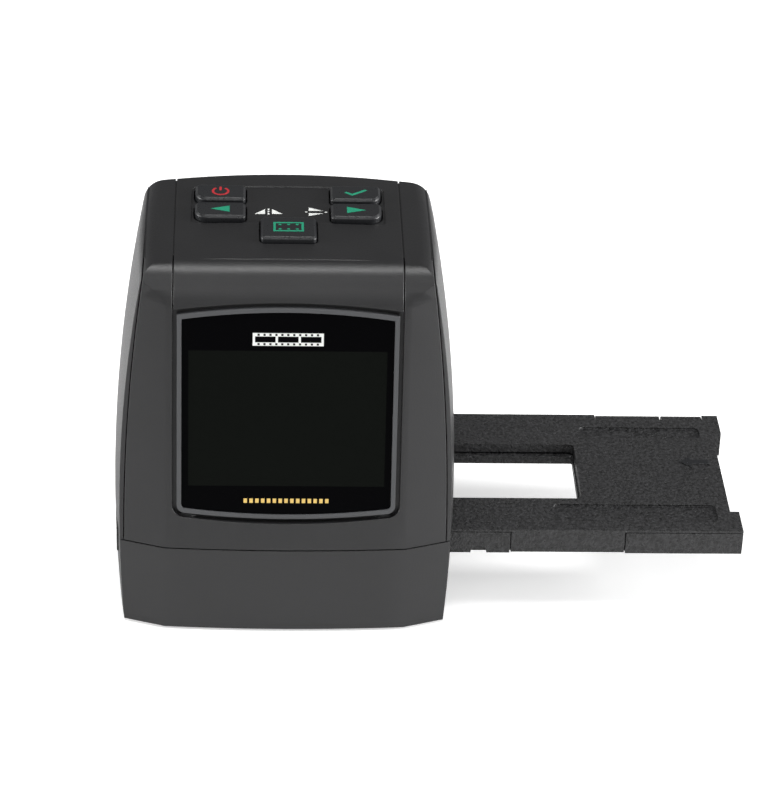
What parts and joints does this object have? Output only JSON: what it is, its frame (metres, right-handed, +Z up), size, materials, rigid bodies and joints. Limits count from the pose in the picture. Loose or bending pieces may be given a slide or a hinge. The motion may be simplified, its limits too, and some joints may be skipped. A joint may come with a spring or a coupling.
{
  "type": "film negative scanner",
  "caption": "Stand-alone 35 mm film scanner with a leaning screen, top keys and a sliding hinged film holder through slots in its base.",
  "frame": {"origin": "on the table, under the middle of the casing, where the feet rest", "axes": "+Z up, -Y the side of the screen that faces the user, +X the user's right, the way the film holder sticks out and slides"},
  "size_m": [0.166, 0.0876, 0.1028],
  "materials": {
    "casing_abs": "fine-grained matte black moulding",
    "bezel_grey": "satin dark grey rim",
    "screen_gloss": "glossy black window",
    "lcd_glass": "dark display",
    "ribbon_film": "amber film cable",
    "circuit_board": "green solder mask",
    "socket_metal": "plated sheet steel",
    "socket_plastic": "black moulding",
    "inner_plastic": "matte black inner moulding",
    "diffuser_opal": "opal light diffuser",
    "spring_steel": "bright spring steel",
    "led_chip": "white light chips",
    "lens_metal": "black anodised",
    "lens_optic": "coated lens glass",
    "key_rubber": "satin black soft keys",
    "holder_plastic": "coarse spark-grained black moulding",
    "foot_rubber": "matte rubber",
    "screw_steel": "zinc-plated screws"
  },
  "bodies": {
    "housing": {"base_shell": "casing_abs", "front_hood": "casing_abs", "left_side_panel": "casing_abs", "right_side_panel": "casing_abs", "rear_cover": "casing_abs", "top_panel": "casing_abs", "screen_bezel": "bezel_grey", "screen_window": "screen_gloss", "lcd_module": "lcd_glass", "lcd_ribbon": "ribbon_film", "main_board": "circuit_board", "usb_socket": "socket_metal", "av_jack": "socket_plastic", "card_socket": "socket_metal", "tray_guide": "inner_plastic", "diffuser_plate": "diffuser_opal", "detent_spring": "spring_steel", "backlight_board": "circuit_board", "backlight_leds": "led_chip", "optics_tower": "inner_plastic", "lens_barrel": "lens_metal", "lens_glass": "lens_optic", "sensor_board": "circuit_board", "key_board": "circuit_board", "key_switches": "socket_plastic", "rubber_feet": "foot_rubber", "case_screws": "screw_steel"},
    "film_holder": {"tray_base": "holder_plastic", "tray_lid": "holder_plastic", "tray_hinge_pins": "spring_steel"},
    "power_key": {"power_button": "key_rubber"},
    "left_key": {"left_button": "key_rubber"},
    "ok_key": {"ok_button": "key_rubber"},
    "right_key": {"right_button": "key_rubber"},
    "scan_key": {"scan_button": "key_rubber"}
  },
  "joints": [
    {"name": "holder_slide", "type": "slide", "parent": "housing", "child": "film_holder", "axis": [1, 0, 0], "range_m": [-0.061, 0.092]},
    {"name": "power_press", "type": "slide", "parent": "housing", "child": "power_key", "axis": [0, 0, 1], "range_m": [-0.0007, 0], "stiffness_N_per_m": 900},
    {"name": "left_press", "type": "slide", "parent": "housing", "child": "left_key", "axis": [0, 0, 1], "range_m": [-0.0007, 0], "stiffness_N_per_m": 900},
    {"name": "ok_press", "type": "slide", "parent": "housing", "child": "ok_key", "axis": [0, 0, 1], "range_m": [-0.0007, 0], "stiffness_N_per_m": 900},
    {"name": "right_press", "type": "slide", "parent": "housing", "child": "right_key", "axis": [0, 0, 1], "range_m": [-0.0007, 0], "stiffness_N_per_m": 900},
    {"name": "scan_press", "type": "slide", "parent": "housing", "child": "scan_key", "axis": [0, 0, 1], "range_m": [-0.0007, 0], "stiffness_N_per_m": 900}
  ]
}
